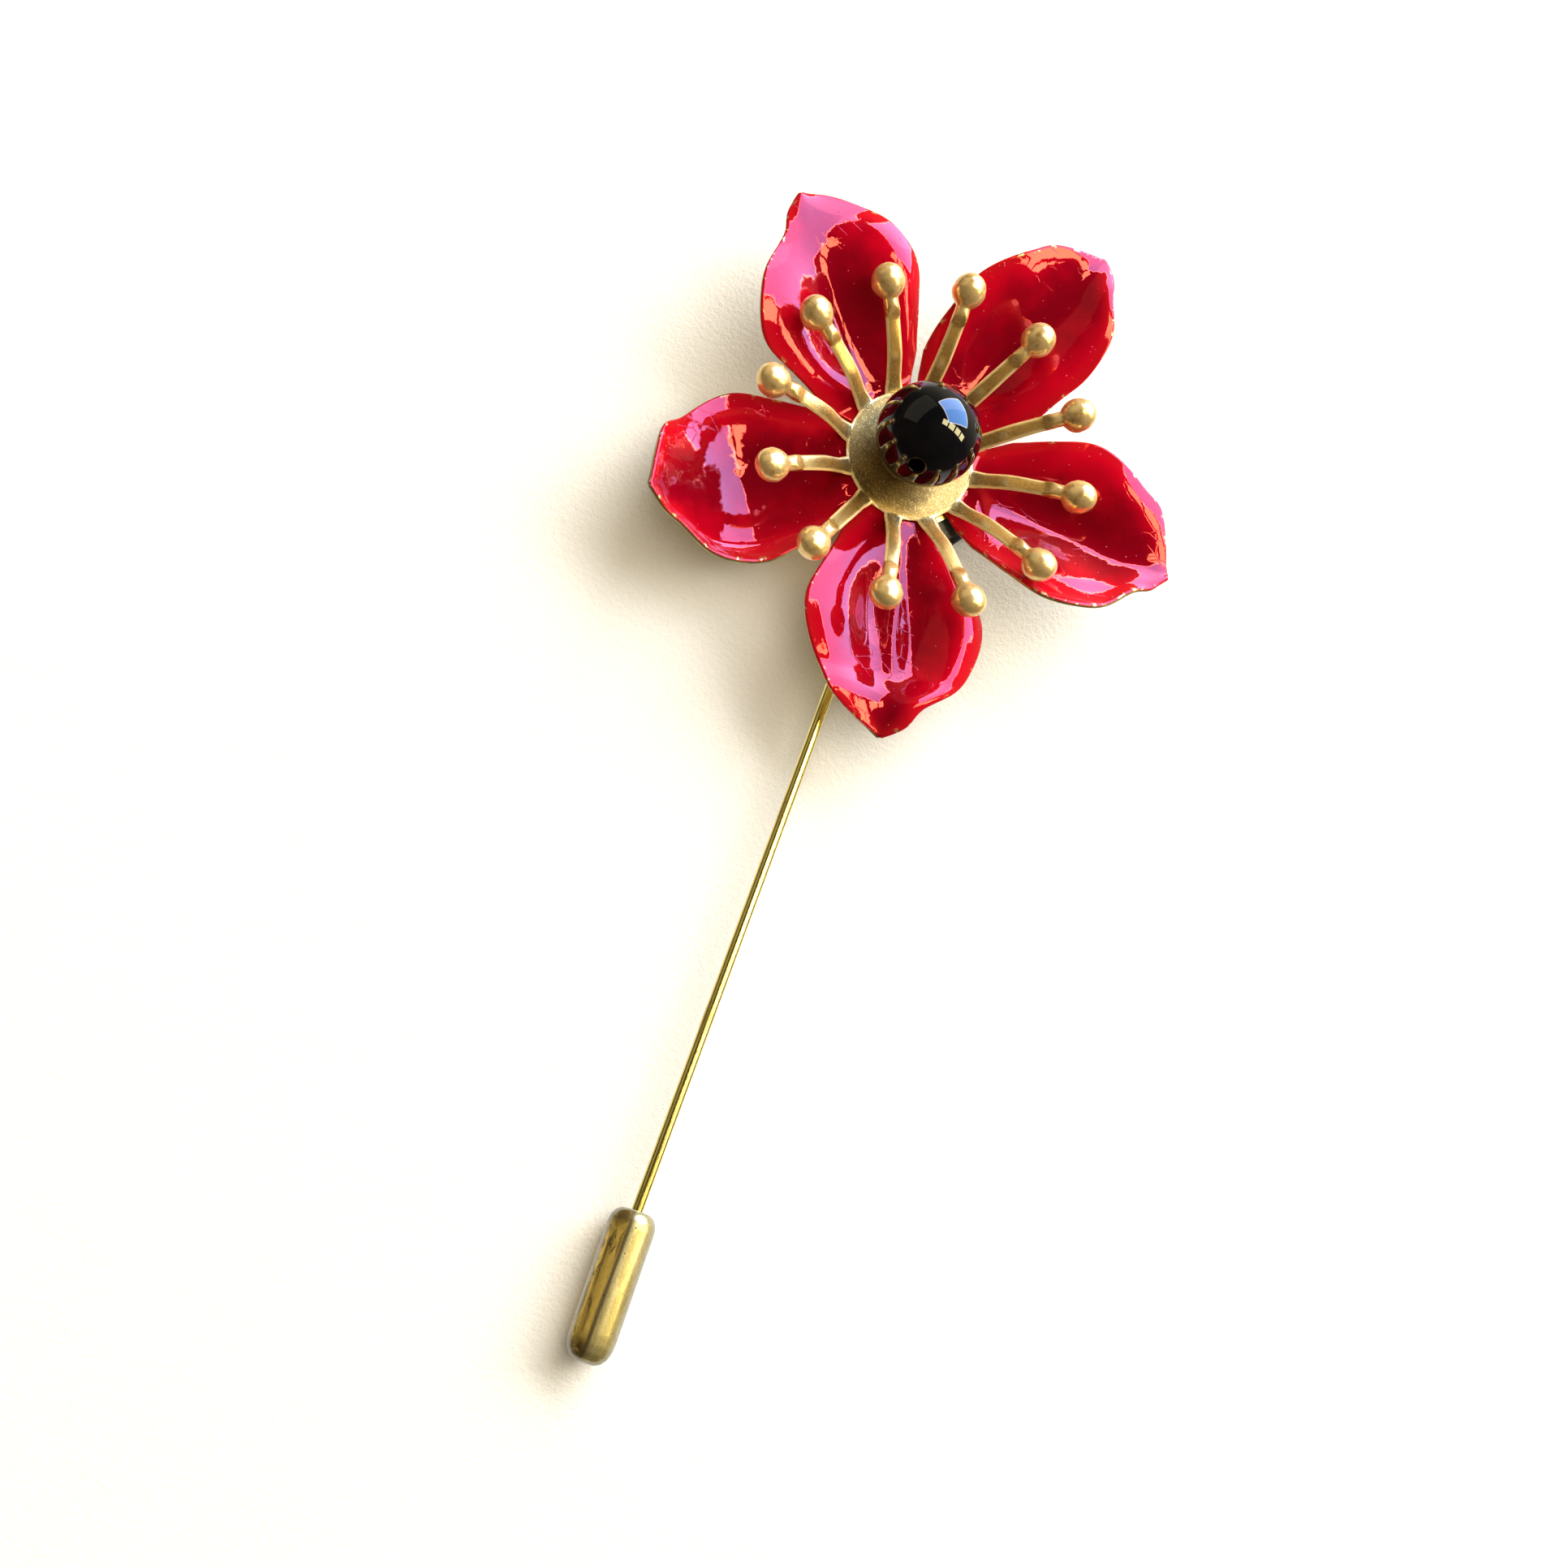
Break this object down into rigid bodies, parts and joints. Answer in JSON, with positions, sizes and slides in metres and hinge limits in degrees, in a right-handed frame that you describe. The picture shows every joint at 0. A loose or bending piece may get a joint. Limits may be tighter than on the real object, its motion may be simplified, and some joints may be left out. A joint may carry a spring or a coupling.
{
  "type": "flower hat pin",
  "caption": "Hat pin with an enamelled flower head, ball-tipped brass stamens, a black bead and a bullet clutch that slides off its point.",
  "frame": {"origin": "centre of the backing disc's flat back face, which lies on the plane Z = 0", "axes": "+Z out of the front of the flower; -Y along the pin from the flower to its point; +X to the right when the flower is seen from the front with the point down"},
  "size_m": [0.0459, 0.1045, 0.0132],
  "materials": {
    "red_enamel": "glossy translucent red enamel on brass sheet",
    "aged_brass": "satin, darkened in the hollows",
    "gold_plate": "polished gold plate",
    "worn_gold": "polished gold plate, worn and tarnished",
    "black_glass": "opaque, high polish",
    "black_leather": "matt, fine grain",
    "black_glue": "set glue",
    "clear_glue": "set glue, slightly yellow",
    "tin_solder": "dull solder",
    "white_nylon": "matt nylon"
  },
  "bodies": {
    "pin": {"backing_disc": "black_leather", "glue_bed": "black_glue", "solder_joint": "tin_solder", "pin_stem": "gold_plate", "pin_pad": "gold_plate", "petal_1": "red_enamel", "petal_2": "red_enamel", "petal_3": "red_enamel", "petal_4": "red_enamel", "petal_5": "red_enamel", "stamen_stamping": "aged_brass", "centre_rivet": "aged_brass", "bead_glue": "clear_glue", "bead": "black_glass"},
    "clutch_grip": {"clutch_liner": "white_nylon"},
    "clutch_cap": {"clutch_shell": "worn_gold"}
  },
  "joints": [
    {"name": "clutch_pull", "type": "slide", "parent": "pin", "child": "clutch_grip", "axis": [0, -1, 0], "range_m": [0, 0.02]},
    {"name": "clutch_turn", "type": "hinge", "parent": "clutch_grip", "child": "clutch_cap", "pos_m": [0, -0.0687, 0.00195], "axis": [0.0175, -0.9998, 0], "continuous": true}
  ]
}
